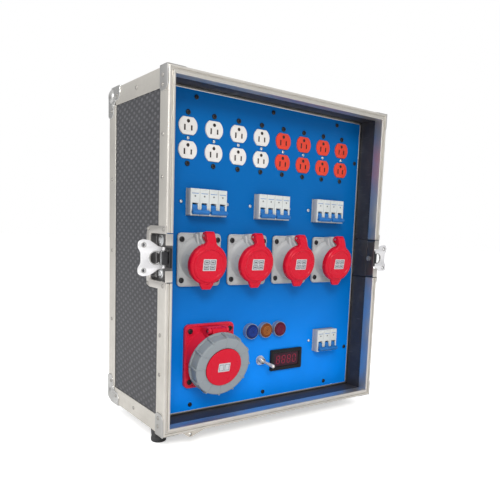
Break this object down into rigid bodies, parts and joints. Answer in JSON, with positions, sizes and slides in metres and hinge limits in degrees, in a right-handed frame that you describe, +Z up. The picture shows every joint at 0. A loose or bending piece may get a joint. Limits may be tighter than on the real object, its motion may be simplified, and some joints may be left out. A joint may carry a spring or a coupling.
{
  "type": "portable power distribution box",
  "caption": "Open-front flight case with a recessed panel of outlets, breakers, industrial sockets, a power inlet, a meter and lamps; latches, lids and switches move.",
  "frame": {"origin": "on the floor, under the centre of the case's width and depth (the case without latches and corners)", "axes": "+Z up, the open front faces -Y, +X to the right seen from the front"},
  "size_m": [0.562, 0.2559, 0.612],
  "materials": {
    "laminate": "hot-press laminate in dark grey on plywood, dot pattern",
    "aluminium": "extruded, clear anodised, worn",
    "steel": "zinc plated pressed steel",
    "black_steel": "black oxide",
    "rubber": "matte moulded rubber",
    "blue_paint": "gloss powder coat",
    "white_plastic": "moulded",
    "orange_plastic": "moulded",
    "cream_plastic": "moulded",
    "blue_plastic": "moulded",
    "grey_plastic": "moulded",
    "light_grey_plastic": "moulded",
    "red_plastic": "moulded",
    "black_plastic": "moulded",
    "brass": "bright machined",
    "chrome": "plated",
    "blue_lens": "clear moulded cap",
    "amber_lens": "clear moulded cap",
    "red_lens": "clear moulded cap",
    "dark_window": "tinted window"
  },
  "bodies": {
    "case": {"left_side_panel": "laminate", "right_side_panel": "laminate", "top_panel": "laminate", "bottom_panel": "laminate", "back_panel": "laminate", "front_profile": "aluminium", "edge_angles": "aluminium", "ball_corners": "steel", "corner_braces": "steel", "case_rivets": "steel", "rubber_feet": "rubber", "tie_down_eye": "aluminium", "latch_dishes": "aluminium", "handle_dish": "black_plastic", "panel_frame": "aluminium", "front_panel": "blue_paint", "panel_screws": "black_steel", "outlets_white": "white_plastic", "outlets_orange": "orange_plastic", "outlet_yokes": "steel", "steel_screws": "steel", "breaker_bodies": "cream_plastic", "din_rails": "steel", "socket_housings": "grey_plastic", "socket_gaskets": "rubber", "contact_carriers": "black_plastic", "contacts": "brass", "hinge_pins": "steel", "inlet_housing": "red_plastic", "flange_screws": "black_steel", "pilot_lens_blue": "blue_lens", "pilot_lens_amber": "amber_lens", "pilot_lens_red": "red_lens", "pilot_bodies": "black_plastic", "meter_housing": "black_plastic", "meter_window": "dark_window", "toggle_body": "chrome", "terminal_blocks": "brass", "wiring": "black_plastic"},
    "latch_hub_left": {"latch_hub_left": "steel"},
    "latch_hub_right": {"latch_hub_right": "steel"},
    "latch_wing_left": {"latch_wing_left": "steel"},
    "latch_wing_right": {"latch_wing_right": "steel"},
    "latch_hook_left": {"latch_hook_left": "steel"},
    "latch_hook_right": {"latch_hook_right": "steel"},
    "handle_bail": {"handle_bail": "black_plastic"},
    "inlet_lid": {"inlet_lid": "red_plastic"},
    "inlet_ring": {"inlet_ring": "light_grey_plastic"},
    "toggle_lever": {"toggle_lever": "chrome"},
    "breaker_handle_1": {"breaker_handle_1": "blue_plastic"},
    "breaker_handle_2": {"breaker_handle_2": "blue_plastic"},
    "breaker_handle_3": {"breaker_handle_3": "blue_plastic"},
    "breaker_handle_4": {"breaker_handle_4": "blue_plastic"},
    "breaker_handle_5": {"breaker_handle_5": "blue_plastic"},
    "breaker_handle_6": {"breaker_handle_6": "blue_plastic"},
    "breaker_handle_7": {"breaker_handle_7": "blue_plastic"},
    "socket_lid_1": {"socket_lid_1": "red_plastic"},
    "socket_lid_2": {"socket_lid_2": "red_plastic"},
    "socket_lid_3": {"socket_lid_3": "red_plastic"},
    "socket_lid_4": {"socket_lid_4": "red_plastic"}
  },
  "joints": [
    {"name": "latch_turn_left", "type": "hinge", "parent": "case", "child": "latch_hub_left", "pos_m": [-0.24, -0.107, 0.315], "axis": [1, 0, 0], "range_deg": [-180, 0]},
    {"name": "wing_fold_left", "type": "hinge", "parent": "latch_hub_left", "child": "latch_wing_left", "pos_m": [-0.237, -0.107, 0.315], "axis": [0, 0, -1], "range_deg": [0, 90]},
    {"name": "hook_slide_left", "type": "slide", "parent": "case", "child": "latch_hook_left", "axis": [0, -1, 0], "range_m": [0, 0.008]},
    {"name": "latch_turn_right", "type": "hinge", "parent": "case", "child": "latch_hub_right", "pos_m": [0.24, -0.107, 0.315], "axis": [1, 0, 0], "range_deg": [-180, 0]},
    {"name": "wing_fold_right", "type": "hinge", "parent": "latch_hub_right", "child": "latch_wing_right", "pos_m": [0.237, -0.107, 0.315], "axis": [0, 0, 1], "range_deg": [0, 90]},
    {"name": "hook_slide_right", "type": "slide", "parent": "case", "child": "latch_hook_right", "axis": [0, -1, 0], "range_m": [0, 0.008]},
    {"name": "handle_lift", "type": "hinge", "parent": "case", "child": "handle_bail", "pos_m": [0, -0.02, 0.6], "axis": [1, 0, 0], "range_deg": [0, 90]},
    {"name": "breaker_switch_1", "type": "hinge", "parent": "case", "child": "breaker_handle_1", "pos_m": [-0.1579, -0.0707, 0.3975], "axis": [-1, 0, 0], "range_deg": [0, 70]},
    {"name": "breaker_switch_2", "type": "hinge", "parent": "case", "child": "breaker_handle_2", "pos_m": [-0.1221, -0.0707, 0.3975], "axis": [-1, 0, 0], "range_deg": [0, 70]},
    {"name": "breaker_switch_3", "type": "hinge", "parent": "case", "child": "breaker_handle_3", "pos_m": [-0.0179, -0.0707, 0.3975], "axis": [-1, 0, 0], "range_deg": [0, 70]},
    {"name": "breaker_switch_4", "type": "hinge", "parent": "case", "child": "breaker_handle_4", "pos_m": [0.0179, -0.0707, 0.3975], "axis": [-1, 0, 0], "range_deg": [0, 70]},
    {"name": "breaker_switch_5", "type": "hinge", "parent": "case", "child": "breaker_handle_5", "pos_m": [0.1221, -0.0707, 0.3975], "axis": [-1, 0, 0], "range_deg": [0, 70]},
    {"name": "breaker_switch_6", "type": "hinge", "parent": "case", "child": "breaker_handle_6", "pos_m": [0.1579, -0.0707, 0.3975], "axis": [-1, 0, 0], "range_deg": [0, 70]},
    {"name": "breaker_switch_7", "type": "hinge", "parent": "case", "child": "breaker_handle_7", "pos_m": [0.15, -0.0707, 0.1325], "axis": [-1, 0, 0], "range_deg": [0, 70]},
    {"name": "lid_hinge_1", "type": "hinge", "parent": "case", "child": "socket_lid_1", "pos_m": [-0.15, -0.09338, 0.35171], "axis": [-1, 0, 0], "range_deg": [0, 110]},
    {"name": "lid_hinge_2", "type": "hinge", "parent": "case", "child": "socket_lid_2", "pos_m": [-0.05, -0.09338, 0.35171], "axis": [-1, 0, 0], "range_deg": [0, 110]},
    {"name": "lid_hinge_3", "type": "hinge", "parent": "case", "child": "socket_lid_3", "pos_m": [0.05, -0.09338, 0.35171], "axis": [-1, 0, 0], "range_deg": [0, 110]},
    {"name": "lid_hinge_4", "type": "hinge", "parent": "case", "child": "socket_lid_4", "pos_m": [0.15, -0.09338, 0.35171], "axis": [-1, 0, 0], "range_deg": [0, 110]},
    {"name": "inlet_lid_hinge", "type": "hinge", "parent": "case", "child": "inlet_lid", "pos_m": [-0.126, -0.09345, 0.18725], "axis": [-1, 0, 0], "range_deg": [0, 105]},
    {"name": "inlet_ring_turn", "type": "hinge", "parent": "inlet_lid", "child": "inlet_ring", "pos_m": [-0.126, -0.0607, 0.139], "axis": [0, -0.9781, -0.2079], "range_deg": [-40, 0]},
    {"name": "toggle_throw", "type": "hinge", "parent": "case", "child": "toggle_lever", "pos_m": [-0.009, -0.0687, 0.114], "axis": [-0.6157, 0, -0.788], "range_deg": [0, 44]}
  ],
  "couplings": [
    {"joint": "hook_slide_left", "follows": "latch_turn_left", "m_per_rad": -0.0025465},
    {"joint": "hook_slide_right", "follows": "latch_turn_right", "m_per_rad": -0.0025465}
  ]
}
